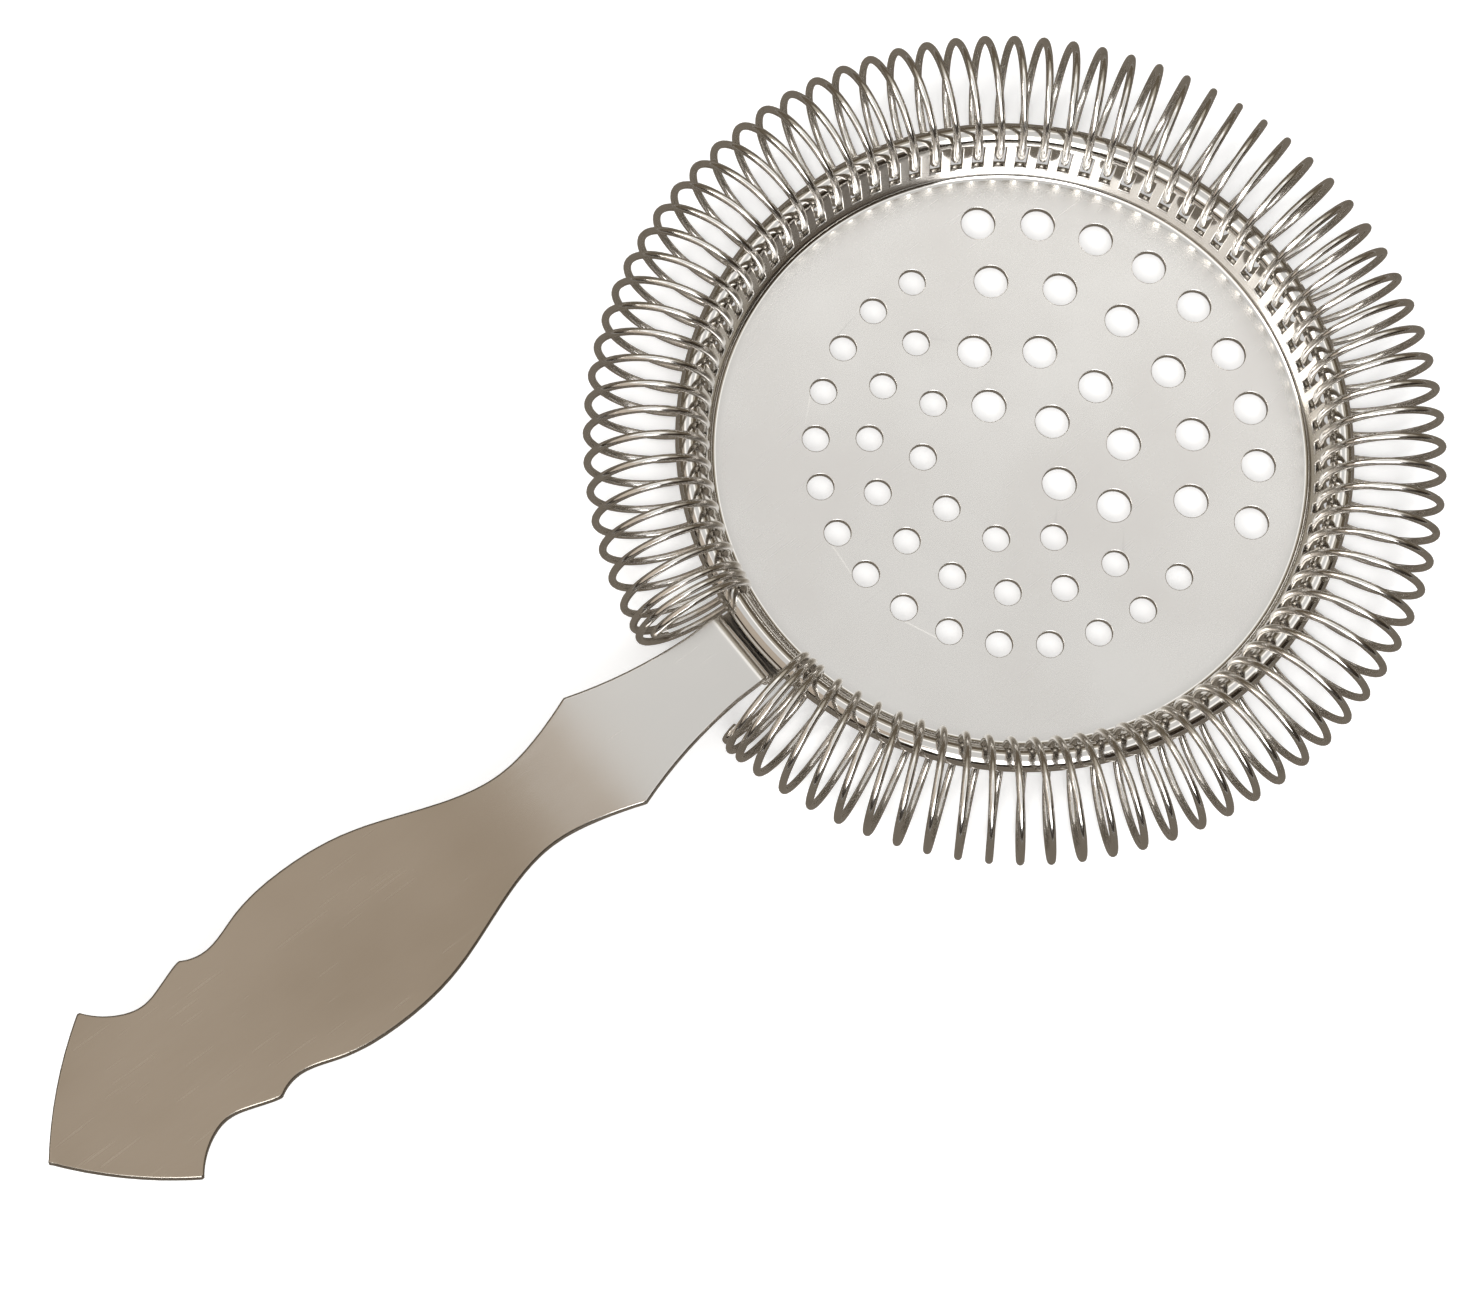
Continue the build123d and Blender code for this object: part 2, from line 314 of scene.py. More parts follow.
# %% The plate: satin floor, polished wall and rim
def plate_finish():
    material, nodes = new_finish("satin_and_polished_steel")
    place = place_on_object(nodes)
    across = nodes.add("ShaderNodeSeparateXYZ", {"Vector": place})
    x, y, z = across, across.output("Y"), across.output("Z")
    radius = (x * x + y * y).maths("SQRT")
    floor_edge = RIM_RADIUS - 5 * MM
    polished = radius.between(floor_edge, floor_edge + 2 * MM)
    below = 1 - z.between(-0.2 * SHEET, 0.4 * SHEET)
    clouds = noise(nodes, place, 38.0, detail=4.0)
    grain = noise(nodes, place, 5200.0, detail=2.0)
    both_ways = scratches(nodes, place, 24, 160.0) + scratches(nodes, place, -63, 120.0)
    marks = both_ways * (1 - polished)
    satin = 0.20 + clouds * 0.10 + grain * 0.05 - marks * 0.05 + below * 0.05
    bright = 0.07 + clouds * 0.05
    roughness = satin * (1 - polished) + bright * polished
    floor_colour = mixed(nodes, clouds.between(0.30, 0.70), SATIN_STEEL, CLOUDED_STEEL)
    colour = mixed(nodes, polished, floor_colour, STEEL)
    height = (grain * 0.4 - marks * 0.5) * (1 - polished * 0.85) + clouds * 0.3
    end_finish(nodes, colour, roughness, height, 0.10, 0.02 * MM)
    return material


# %% The handle: linished steel with bright edges, and a painted reflection on the grip
def handle_finish():
    material, nodes = new_finish("linished_steel")
    place = place_on_object(nodes)
    across = nodes.add("ShaderNodeSeparateXYZ", {"Vector": place})
    lines = noise(nodes, stretched(nodes, place, (0.03, 1.0, 0.4)), 6500.0, detail=2.0)
    clouds = noise(nodes, stretched(nodes, place, (0.7, 1.0, 1.0)), 30.0, detail=3.0)
    marks = scratches(nodes, place, 12, 120.0) + scratches(nodes, place, 71, 90.0)
    # From the neck to the grip the base colour turns darker and warmer: a painted reflection of the
    # dark room. The random mottle varies the roughness like wear, and it also varies the tone of
    # the painted reflection.
    painted_reflection_on_grip = across.maths("MULTIPLY", -1.0).between(62 * MM, 84 * MM)
    wear_and_reflection_mottle = clouds.between(0.35, 0.7)
    roughness = 0.15 + lines * 0.07 + wear_and_reflection_mottle * 0.07 + marks * 0.06
    painted_grip_reflection = mixed(nodes, wear_and_reflection_mottle, (0.50, 0.455, 0.395), (0.545, 0.50, 0.44))
    colour = mixed(nodes, painted_reflection_on_grip, STEEL, painted_grip_reflection)
    end_finish(nodes, colour, roughness, lines - marks * 0.6, 0.05, 0.02 * MM)
    return material


# %% The spring's wire: drawn, with its lines along the wire
def wire_finish():
    material, nodes = new_finish("drawn_wire")
    along = nodes.add("ShaderNodeAttribute", output="Fac", attribute_name="along_wire")
    across = nodes.add("ShaderNodeAttribute", output="Vector", attribute_name="across_wire")
    parts = nodes.add("ShaderNodeSeparateXYZ", {"Vector": across})
    straight = nodes.add("ShaderNodeCombineXYZ", {
        "X": along * 0.02, "Y": parts, "Z": parts.output("Y")})
    lines = noise(nodes, straight, 7000.0, detail=2.0)
    stains = noise(nodes, place_on_object(nodes), 260.0, detail=3.0).between(0.52, 0.72)
    roughness = 0.11 + lines * 0.10 + stains * 0.10
    colour = mixed(nodes, stains * 0.4 + lines * 0.2, BRIGHT_STEEL, DULL_STEEL)
    end_finish(nodes, colour, roughness, lines, 0.12, 0.02 * MM)
    return material


# %% The weld: rippled, with the colours that heat leaves
def weld_finish():
    material, nodes = new_finish("weld_bead")
    place = place_on_object(nodes)
    heat = noise(nodes, place, 420.0, detail=3.0)
    colour = nodes.add("ShaderNodeValToRGB", {"Fac": heat}, stops=[
        (0.30, (0.44, 0.42, 0.40)), (0.48, (0.50, 0.41, 0.27)),
        (0.60, (0.33, 0.30, 0.38)), (0.75, (0.58, 0.56, 0.53))])
    end_finish(nodes, colour, 0.30 + heat * 0.2, heat, 0.3, 0.05 * MM)
    return material


plate_steel, handle_steel = plate_finish(), handle_finish()
wire_steel, weld_steel = wire_finish(), weld_finish()

# %% [markdown]
# ## The dish: wall and rolled rim
# The plate is one sheet: a flat floor, a small bend, a leaning wall and an edge curled over into
# a rim. Its section is a line that we could spin, but each turn of the spring passes through its
# own slot in the wall, and a spun shape has none. So the wall is a flat grid first: its columns
# are places round the ring and its rows are points of the section. Faces where a slot comes are
# deleted, and the grid is wrapped round. The sheet has no thickness yet.

# %% The sheet's section, from the floor's edge to the end of the curl
curl_radius = RIM_SECTION - SHEET / 2
wall_top = Vector((RIM_RADIUS - curl_radius * cos(WALL_SLOPE),
                   RIM_HEIGHT + curl_radius * sin(WALL_SLOPE)))
up_wall = Vector((sin(WALL_SLOPE), cos(WALL_SLOPE)))


def wall_at(height):
    """The point of the wall's middle line at this height."""
    return wall_top + up_wall * (height - wall_top.y) / up_wall.y


def arc(centre, radius, first, last, steps):
    angles = [first + (last - first) * step / steps for step in range(steps + 1)]
    return [centre + Vector((cos(angle), sin(angle))) * radius for angle in angles]


# Where a turn of wire crosses the wall, measured down from the turn's innermost point
to_wall = SPRING_RADIUS - wall_at(RIM_HEIGHT).x
crossing = acos(to_wall * cos(WALL_SLOPE) / COIL_RADIUS) - WALL_SLOPE
crossing_turn = crossing / (2 * pi)
wire_crossing = wall_at(RIM_HEIGHT - COIL_RADIUS * sin(crossing))

# A slot reaches further above the crossing than below it, because the wire curves along the wall
SLOT_FOOT, SLOT_TOP = -1.55 * MM, 2.49 * MM
SLOT_WIDTH = 1.45 * MM

bend_reach = FLOOR_BEND * tan((pi / 2 - WALL_SLOPE) / 2)
bend_centre = Vector((wall_at(SHEET / 2).x - bend_reach, SHEET / 2 + FLOOR_BEND))
section = arc(bend_centre, FLOOR_BEND, -pi / 2, -WALL_SLOPE, 7)
first_slot_row = len(section)
section += [wire_crossing + up_wall * SLOT_FOOT, wire_crossing, wire_crossing + up_wall * SLOT_TOP]
last_slot_row = len(section) - 1
curl_start = pi - WALL_SLOPE
section += arc(Vector((RIM_RADIUS, RIM_HEIGHT)), curl_radius, curl_start, curl_start - RIM_CURL, 26)
print("points in the section:", len(section))
print("slots between rows", first_slot_row, "and", last_slot_row)

section_mesh = bpy.data.meshes.new("section")
section_mesh.from_pydata([(point.x, 0.0, point.y) for point in section], [], [])
section_object = new_piece("section", section_mesh)

# %% A Geometry Nodes tree for one run of evenly spaced slots
def wrapped_wall(nodes, group):
    """Adds one run of slots, each followed by a plain panel, to a tree."""
    parts = group["Slot Parts"] + group["Panel Parts"]
    columns = parts * group["Slots"]
    rows = len(section)
    grid = nodes.add("GeometryNodeMeshGrid", {
        "Size X": columns, "Size Y": float(rows - 1),
        "Vertices X": columns + 1, "Vertices Y": rows})
    place = nodes.add("ShaderNodeSeparateXYZ", {"Vector": nodes.add("GeometryNodeInputPosition")})
    column, row = place + columns * 0.5, place.output("Y") + (rows - 1) / 2

    slot = (column / parts).maths("FLOOR")
    part = column - slot * parts
    in_slot = part.maths("LESS_THAN", group["Slot Parts"])
    in_rows = (row.maths("GREATER_THAN", float(first_slot_row))
               * row.maths("LESS_THAN", float(last_slot_row)))
    punched = nodes.add("GeometryNodeDeleteGeometry", {
        "Geometry": grid, "Selection": in_slot * in_rows}, domain="FACE")

    whole = column.maths("ROUND")
    slot = ((whole + 0.5) / parts).maths("FLOOR")
    part = whole - slot * parts
    slot_share = part.maths("MINIMUM", group["Slot Parts"]) / group["Slot Parts"]
    panel_share = (part - group["Slot Parts"]).maths("MAXIMUM", 0.0) / group["Panel Parts"]
    angle = (group["Start"] + slot * group["Pitch"] + slot_share * group["Slot Angle"]
             + panel_share * (group["Pitch"] - group["Slot Angle"]))

    points = nodes.add("GeometryNodeObjectInfo", {"Object": section_object}, output="Geometry")
    sampled = nodes.add("GeometryNodeSampleIndex", {
        "Geometry": points, "Value": nodes.add("GeometryNodeInputPosition"),
        "Index": row.maths("ROUND")}, data_type="FLOAT_VECTOR", domain="POINT")
    on_section = nodes.add("ShaderNodeSeparateXYZ", {"Vector": sampled})
    wrapped = nodes.add("ShaderNodeCombineXYZ", {
        "X": on_section * angle.maths("COSINE"), "Y": on_section * angle.maths("SINE"),
        "Z": on_section.output("Z")})
    return nodes.add("GeometryNodeSetPosition", {"Geometry": punched, "Position": wrapped})


WALL_INPUTS = {"Start": "Float", "Pitch": "Float", "Slots": "Int", "Slot Angle": "Float",
               "Slot Parts": "Int", "Panel Parts": "Int", "Finish": "Material"}
wall_nodes, wall_group = new_geometry_tree("wall_with_slots", WALL_INPUTS)
end_tree(wall_nodes, wrapped_wall(wall_nodes, wall_group), wall_group["Finish"])


def crossing_angle(turn):
    """Where the wire of this turn passes through the wall, round the ring."""
    return radians(SPRING_START - degrees_taken(turn + crossing_turn))


# %% Run the tree three times: the regular slots, and a wide window at each end of the spring
half_slot = SLOT_WIDTH / wire_crossing.x / 2
regular_slots = REGULAR_TURNS - 1
last_regular = crossing_angle(BUNCHED_TURNS + REGULAR_TURNS - 1) - half_slot
window_one = crossing_angle(BUNCHED_TURNS) - half_slot
window_one_end = crossing_angle(0) + half_slot
window_two = crossing_angle(TOTAL_TURNS) - half_slot + 2 * pi
window_two_end = crossing_angle(TOTAL_TURNS - BUNCHED_TURNS) + half_slot + 2 * pi
slot_pitch = (window_one - last_regular) / regular_slots
runs = [
    ("wall_regular", last_regular, slot_pitch, regular_slots, 2 * half_slot, 2, 2),
    ("wall_window_one", window_one, window_two - window_one, 1,
     window_one_end - window_one, 6, 16),
    ("wall_window_two", window_two, last_regular + 2 * pi - window_two, 1,
     window_two_end - window_two, 6, 2),
]
walls = []
for name, *values in runs:
    named_values = dict(zip(WALL_INPUTS, [*values, plate_steel]))
    walls.append(made_by(wall_nodes, name, named_values))

# %% [markdown]
# ## The floor and its 52 drain holes
# The holes lie on seven arcs. The four arcs of large holes face away from the handle and the
# three arcs of small holes face it. A tree places a circle for each hole, and Fill Curve turns
# the circles and the floor's edge into one flat face with holes. The floor's edge is taken from
# the wall itself, so that the two meet point for point.

# %% A tree for the floor
def hole_circles(nodes, hole_radius, arc_radius, count, spacing, facing, shift):
    """Adds one arc of circles to a tree."""
    index = nodes.add("GeometryNodeInputIndex")
    angle = (index - (count - 1) / 2) * radians(spacing) + radians(facing + HOLE_TURN)
    position = nodes.add("ShaderNodeCombineXYZ", {
        "X": angle.maths("COSINE") * arc_radius + shift, "Y": angle.maths("SINE") * arc_radius,
        "Z": SHEET / 2})
    points = nodes.add("GeometryNodePoints", {"Count": count, "Position": position})
    circle = nodes.add("GeometryNodeCurvePrimitiveCircle", {
        "Resolution": 40, "Radius": hole_radius})
    return nodes.add("GeometryNodeInstanceOnPoints", {"Points": points, "Instance": circle})


floor_nodes, floor_group = new_geometry_tree("floor_with_holes", {
    "Wall": "Object", "Large Hole": "Float", "Small Hole": "Float", "Finish": "Material"})
wall_mesh = floor_nodes.add("GeometryNodeObjectInfo", {
    "Object": floor_group["Wall"]}, output="Geometry")
height = floor_nodes.add("ShaderNodeSeparateXYZ", {
    "Vector": floor_nodes.add("GeometryNodeInputPosition")})
lowest = height.output("Z").maths("LESS_THAN", SHEET / 2 + 0.001 * MM)
floor_edge = floor_nodes.add("GeometryNodeMeshToCurve", {"Mesh": wall_mesh, "Selection": lowest})
circles = [floor_edge]
for hole, arcs, facing, shift in (("Large Hole", LARGE_ARCS, 0.0, 0.0),
                                  ("Small Hole", SMALL_ARCS, 180.0, SMALL_ARCS_SHIFT)):
    for arc_radius, count, spacing in arcs:
        circles.append(hole_circles(floor_nodes, floor_group[hole], arc_radius * MM,
                                    count, spacing, facing, shift))
outlines = floor_nodes.add("GeometryNodeRealizeInstances", {
    "Geometry": floor_nodes.add("GeometryNodeJoinGeometry", {"Geometry": circles})})
filled = floor_nodes.add("GeometryNodeFillCurve", {"Curve": outlines}, mode="TRIANGLES")
level = floor_nodes.add("GeometryNodeSetPosition", {
    "Geometry": filled, "Offset": (0.0, 0.0, SHEET / 2)})
end_tree(floor_nodes, level, floor_group["Finish"])

# %% Join wall and floor into one sheet, then give it thickness and rounded edges


def joined(name, pieces, finish, gap=0.002 * MM):
    """One piece from several, with the points that meet merged."""
    mesh = bmesh.new()
    for piece in pieces:
        mesh.from_mesh(piece.data)
    bmesh.ops.remove_doubles(mesh, verts=mesh.verts, dist=gap)
    for face in mesh.faces:
        face.material_index = 0
    data = bpy.data.meshes.new(name)
    mesh.to_mesh(data)
    mesh.free()
    data.materials.append(finish)
    for piece in pieces:
        bpy.data.objects.remove(piece)
    return new_piece(name, data)


def facing_up(piece):
    """Turns an open sheet's faces the same way, with the floor's top upwards."""
    mesh = bmesh.new()
    mesh.from_mesh(piece.data)
    bmesh.ops.recalc_face_normals(mesh, faces=mesh.faces)
    largest = max(mesh.faces, key=lambda face: face.calc_area() * (abs(face.normal.z) > 0.99))
    if largest.normal.z < 0:
        bmesh.ops.reverse_faces(mesh, faces=mesh.faces)
    mesh.to_mesh(piece.data)
    mesh.free()


def open_edges(piece):
    mesh = bmesh.new()
    mesh.from_mesh(piece.data)
    count = sum(1 for edge in mesh.edges if len(edge.link_faces) != 2)
    mesh.free()
    return count


wall = joined("wall", walls, plate_steel)
floor = made_by(floor_nodes, "floor", {
    "Wall": wall, "Large Hole": LARGE_HOLE, "Small Hole": SMALL_HOLE, "Finish": plate_steel})
plate = joined("dished_plate", [wall, floor], plate_steel)
bpy.data.objects.remove(section_object)
facing_up(plate)
print("open edges of the sheet:", open_edges(plate))


def flat_parts_flat(piece):
    """Smooth shading in which the large flat faces lead and the small rounded ones follow."""
    piece.data.polygons.foreach_set("use_smooth", [True] * len(piece.data.polygons))
    normals = piece.modifiers.new("normals", "WEIGHTED_NORMAL")
    normals.mode, normals.weight, normals.keep_sharp = "FACE_AREA", 60, False
    return applied(piece)


def thickened(piece, thickness, edge):
    """Gives a sheet its thickness, rounds its cut edges and shades its flat parts flat."""
    solid = piece.modifiers.new("thickness", "SOLIDIFY")
    solid.thickness, solid.offset, solid.use_even_offset = thickness, 0.0, True
    bevel = piece.modifiers.new("edges", "BEVEL")
    bevel.width, bevel.segments = edge, 3
    bevel.limit_method, bevel.angle_limit = "ANGLE", radians(50)
    applied(piece)
    flat_parts_flat(piece)


PLATE_EDGE_ROUND = 0.40 * MM
thickened(plate, SHEET, PLATE_EDGE_ROUND)
print("open edges of the finished plate:", open_edges(plate))

# %% [markdown]
# ## The spring
# The wire winds down and round the rim: its middle line is a circle of 7.2 mm that is carried
# round the ring, one turn every four degrees. A formula gives each point, so the tree only needs
# a straight line with enough points. At each end of the spring the wire curls in on itself. The
# engineering model cuts the wire into arcs so that it can be pressed in, and we make the same
# arcs, each as its own piece.

# %% A tree for one arc of the spring
SPRING_INPUTS = {"First Turn": "Float", "Last Turn": "Float", "Points": "Int",
                 "Wire Radius": "Float", "Coil Radius": "Float", "Spring Radius": "Float",
                 "Height": "Float", "Finish": "Material"}
spring_nodes, spring_group = new_geometry_tree("wound_wire", SPRING_INPUTS)


def wound_line(nodes, group):
    """Adds the wire's middle line to a tree."""
    line = nodes.add("GeometryNodeCurvePrimitiveLine", {"End": (1.0, 0.0, 0.0)})
    line = nodes.add("GeometryNodeResampleCurve", {"Curve": line, "Count": group["Points"]})
    share = nodes.add("GeometryNodeSplineParameter")
    turn = group["First Turn"] + share * (group["Last Turn"] - group["First Turn"])

    # The curled ends: past the last of the coil, the wire follows a smaller circle inside it
    on_coil = turn.maths("MAXIMUM", -TAIL_TURN).maths("MINIMUM", TOTAL_TURNS + TAIL_TURN)
    on_hook = on_coil + (turn - on_coil) * (COIL_RADIUS / HOOK_RADIUS)
    centre_circle = group["Coil Radius"] - HOOK_RADIUS
    coil_angle, hook_angle = on_coil * (2 * pi), on_hook * (2 * pi)
    reach = coil_angle.maths("COSINE") * centre_circle + hook_angle.maths("COSINE") * HOOK_RADIUS
    rise = coil_angle.maths("SINE") * centre_circle + hook_angle.maths("SINE") * HOOK_RADIUS
    radius, height = group["Spring Radius"] - reach, group["Height"] - rise

    bunched = (turn.maths("MINIMUM", float(BUNCHED_TURNS))
               + (turn - (BUNCHED_TURNS + REGULAR_TURNS)).maths("MAXIMUM", 0.0))
    taken = bunched * BUNCHED_PITCH + (turn - bunched) * REGULAR_PITCH
    angle = (SPRING_START - taken) * radians(1)
    place = nodes.add("ShaderNodeCombineXYZ", {
        "X": radius * angle.maths("COSINE"), "Y": radius * angle.maths("SINE"), "Z": height})
    marked = nodes.add("GeometryNodeStoreNamedAttribute", {
        "Geometry": line, "Name": "along_wire", "Value": turn * group["Coil Radius"] * (2 * pi)})
    return nodes.add("GeometryNodeSetPosition", {"Geometry": marked, "Position": place})


outline = spring_nodes.add("GeometryNodeCurvePrimitiveCircle", {
    "Resolution": 14, "Radius": spring_group["Wire Radius"]})
outline = spring_nodes.add("GeometryNodeStoreNamedAttribute", {
    "Geometry": outline, "Name": "across_wire",
    "Value": spring_nodes.add("GeometryNodeInputPosition")}, data_type="FLOAT_VECTOR")
wire = spring_nodes.add("GeometryNodeCurveToMesh", {
    "Curve": wound_line(spring_nodes, spring_group), "Profile Curve": outline, "Fill Caps": True})
end_tree(spring_nodes, wire, spring_group["Finish"])

# %% Wind the arcs, one piece for each arc of the frame
POINTS_PER_TURN = 56
PRESS_START = RIM_RADIUS - 1.9 * MM          # meant as the radius inside which the wire stays put,
PRESS_END = SPRING_RADIUS + COIL_RADIUS      # and the one where it moves fully; no bend uses either


def arc_turns(number):
    """First and last turn of an arc, with the curled end where the arc ends the spring."""
    last_number = len(arc_names) - 1
    hook = TAIL_TURN + HOOK_TURN
    first = -hook if number == 0 else END_ARC_TURNS + ARC_TURNS * (number - 1)
    last = TOTAL_TURNS + hook if number == last_number else END_ARC_TURNS + ARC_TURNS * number
    return first, last


def ring_point(radius, angle, height):
    return Vector((radius * cos(radians(angle)), radius * sin(radians(angle)), height))


for number, node in enumerate(arc_names):
    first, last = arc_turns(number)
    piece = made_by(spring_nodes, node.replace("arc", "wire"), {
        "First Turn": first, "Last Turn": last,
        "Points": round((last - first) * POINTS_PER_TURN) + 1,
        "Wire Radius": WIRE_RADIUS, "Coil Radius": COIL_RADIUS, "Spring Radius": SPRING_RADIUS,
        "Height": RIM_HEIGHT, "Finish": wire_steel})
    middle_turn = (max(first, 0) + min(last, TOTAL_TURNS)) / 2
    middle = SPRING_START - degrees_taken(middle_turn)
    ring_point(PRESS_START, middle, RIM_HEIGHT)
    ring_point(PRESS_END, middle, RIM_HEIGHT)
    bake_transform(piece)
    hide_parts(node)

# %% [markdown]
# ## The handle
# The handle is stamped from flat strip: a scalloped outline with shoulders, a waist, a belly and
# a pointed tip. It is bent down under the rim at one end and a little up at the other. We walk
# along the strip's side view and lay a section across it at each step. The section is a rectangle
# with rounded corners, because the stamped edges are tumbled, and its width is the outline's.

# %% The outline, read off the frame's handle
neck_end = dish_high.x + 3 * MM
outline_points = {(round(-vertex.co.x, 5), round(vertex.co.y, 5))
                  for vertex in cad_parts["handle"].data.vertices
                  if vertex.co.y > 0 and -vertex.co.x > neck_end}
outline_points = sorted(outline_points | {(-handle_low.x, 0.0)})
print("points on the handle's outline:", len(outline_points))

# %% The strip's side view: stations run outwards from the plate's centre
STRIP = 1.5 * MM
NECK_HEIGHT = RIM_HEIGHT + 0.3 * MM
STEP_DROP = 2.8 * MM
STEP_BEND = 1.25 * MM
STEP_STATION = dish_high.x + 0.3 * MM + STRIP / 2
GRIP_SLOPE = radians(3)
GRIP_BEND, GRIP_BEND_STATION = 90 * MM, 70 * MM
EDGE_ROUND = 0.36 * MM
TIP_INSET = 0.03 * MM
tip_station = -handle_low.x


def straight(start, end, longest):
    """Points from start towards end, no further apart than longest, without the last."""
    steps = max(1, round((end - start).length / longest))
    return [start.lerp(end, step / steps) for step in range(steps)]


def strip_side_view():
    """Points of the strip's middle line, from under the rim to the tip."""
    tongue_height = NECK_HEIGHT - STEP_DROP
    start = Vector((wall_at(tongue_height - STRIP).x, tongue_height))
    bend_start = Vector((STEP_STATION - STEP_BEND, tongue_height))
    first_bend = arc(bend_start + Vector((0, STEP_BEND)), STEP_BEND, -pi / 2, 0, 8)
    neck_start = Vector((STEP_STATION + STEP_BEND, NECK_HEIGHT))
    second_bend = arc(neck_start - Vector((0, STEP_BEND)), STEP_BEND, pi, pi / 2, 8)
    reach = GRIP_BEND * tan(GRIP_SLOPE / 2)
    bend_begin = Vector((GRIP_BEND_STATION - reach, NECK_HEIGHT))
    bend_centre_up = bend_begin + Vector((0, GRIP_BEND))
    grip_bend = arc(bend_centre_up, GRIP_BEND, -pi / 2, -pi / 2 + GRIP_SLOPE, 6)
    to_tip = tip_station - TIP_INSET - grip_bend[-1].x
    tip = grip_bend[-1] + Vector((1, tan(GRIP_SLOPE))) * to_tip
    return (straight(start, bend_start, 0.8 * MM) + first_bend + second_bend[:-1]
            + straight(neck_start, bend_begin, 0.4 * MM) + grip_bend[:-1]
            + straight(grip_bend[-1], tip, 0.3 * MM) + [tip])


def half_width(station):
    """The outline's half width at a station, between the frame's two nearest points."""
    for (first, low), (last, high) in zip(outline_points, outline_points[1:]):
        if first <= station <= last and last > first:
            return low + (high - low) * (station - first) / (last - first)
    return outline_points[0][1] if station < outline_points[0][0] else outline_points[-1][1]


def rounded_section(half, thickness, edge, steps=4):
    """A rectangle with rounded corners, as (sideways, upwards) pairs."""
    edge = min(edge, half * 0.9)
    corners = [(1, 1, 0), (-1, 1, pi / 2), (-1, -1, pi), (1, -1, 3 * pi / 2)]
    pairs = []
    for side, up, first in corners:
        centre = Vector((side * (half - edge), up * (thickness / 2 - edge)))
        pairs += arc(centre, edge, first, first + pi / 2, steps)
    return pairs


def handle_mesh():
    mesh = bmesh.new()
    line = strip_side_view()
    rings = []
    for number, point in enumerate(line):
        before, after = line[max(number - 1, 0)], line[min(number + 1, len(line) - 1)]
        along = (after - before).normalized()
        upwards = Vector((-along.y, along.x))
        ring = []
        for side, up in rounded_section(half_width(point.x), STRIP, EDGE_ROUND):
            place = point + upwards * up
            wall_face = wall_at(place.y).x + SHEET / 2 / cos(WALL_SLOPE)
            station = max(place.x, sqrt(wall_face ** 2 - side ** 2))
            ring.append(mesh.verts.new((-station, side, place.y)))
        rings.append(ring)
    for ring, following in zip(rings, rings[1:]):
        for corner in range(len(ring)):
            beside = (corner + 1) % len(ring)
            mesh.faces.new((ring[corner], ring[beside], following[beside], following[corner]))
    mesh.faces.new(rings[0])
    mesh.faces.new(rings[-1][::-1])
    bmesh.ops.recalc_face_normals(mesh, faces=mesh.faces)
    data = bpy.data.meshes.new("stamped_handle")
    mesh.to_mesh(data)
    mesh.free()
    data.materials.append(handle_steel)
    return data


handle = new_piece("stamped_handle", handle_mesh())


flat_parts_flat(handle)
print("handle:", len(handle.data.polygons), "faces, open edges:", open_edges(handle))

# %% [markdown]
# ## The weld
# One short seam under the rim holds the handle to the dish. A welded bead is a row of small
# overlapping ripples, each left as the pool of metal froze, so its thickness follows a wave.

# %% The bead
weld_low, weld_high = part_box("handle_weld")
bead_nodes, bead_group = new_geometry_tree("weld_bead", {
    "Seam Radius": "Float", "Height": "Float", "Half Angle": "Float", "Bead Radius": "Float",
    "Ripples": "Float", "Finish": "Material"})


def rippled_bead(nodes, group):
    line = nodes.add("GeometryNodeCurvePrimitiveLine", {"End": (1.0, 0.0, 0.0)})
    line = nodes.add("GeometryNodeResampleCurve", {"Curve": line, "Count": 150})
    share = nodes.add("GeometryNodeSplineParameter")
    angle = (share * 2 - 1) * group["Half Angle"] + pi
    place = nodes.add("ShaderNodeCombineXYZ", {
        "X": angle.maths("COSINE") * group["Seam Radius"],
        "Y": angle.maths("SINE") * group["Seam Radius"], "Z": group["Height"]})
    ripple = (share * group["Ripples"] * pi).maths("SINE").maths("ABSOLUTE")
    ends = (1 - (share * 2 - 1).maths("ABSOLUTE").maths("POWER", 10.0)).maths("SQRT")
    bent = nodes.add("GeometryNodeSetPosition", {"Geometry": line, "Position": place})
    marked = nodes.add("GeometryNodeStoreNamedAttribute", {
        "Geometry": bent, "Name": "bulge", "Value": (ripple * 0.18 + 0.82) * (ends * 0.95 + 0.05)})
    bulge = nodes.add("GeometryNodeInputNamedAttribute", {"Name": "bulge"}, data_type="FLOAT")
    circle = nodes.add("GeometryNodeCurvePrimitiveCircle", {
        "Resolution": 18, "Radius": group["Bead Radius"]})
    return nodes.add("GeometryNodeCurveToMesh", {
        "Curve": marked, "Profile Curve": circle, "Scale": bulge, "Fill Caps": True})


end_tree(bead_nodes, rippled_bead(bead_nodes, bead_group), bead_group["Finish"])
bead_radius = (weld_high.z - weld_low.z) * 0.52
bead_height = weld_high.z - bead_radius * 0.75
seam_radius = wall_at(bead_height).x + SHEET / 2 / cos(WALL_SLOPE) + bead_radius * 0.3
weld = made_by(bead_nodes, "weld_bead", {
    "Seam Radius": seam_radius, "Height": bead_height, "Half Angle": weld_high.y / seam_radius,
    "Bead Radius": bead_radius, "Ripples": 11.0, "Finish": weld_steel})

# %% [markdown]
# ## Put the pieces on their bodies
# The plate, the handle and the weld never move against each other, so they ride on one body. Each
# new piece stands for its own node of the frame, which is hidden.

# %% Ride and replace
for piece, node, slot in ((plate, "strainer_plate", "plate"), (handle, "handle", "handle"),
                          (weld, "handle_weld", "weld")):
    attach(piece, "strainer")
    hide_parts(node)

# %% [markdown]
# ## A table, a soft studio and a camera
# Polished metal shows what is around it, so the studio matters as much as the finish. A pale sky
# and two soft boxes light the table white. Cards that only reflections see give the steel its
# contrast. Dark bands round the horizon and a dark card at table height draw the dark lines along
# the wires, a window on the handle's side whitens the far wall of the dish, a bright ring overhead
# lights the wires' backs, and a warm card above the handle tones the grip down.

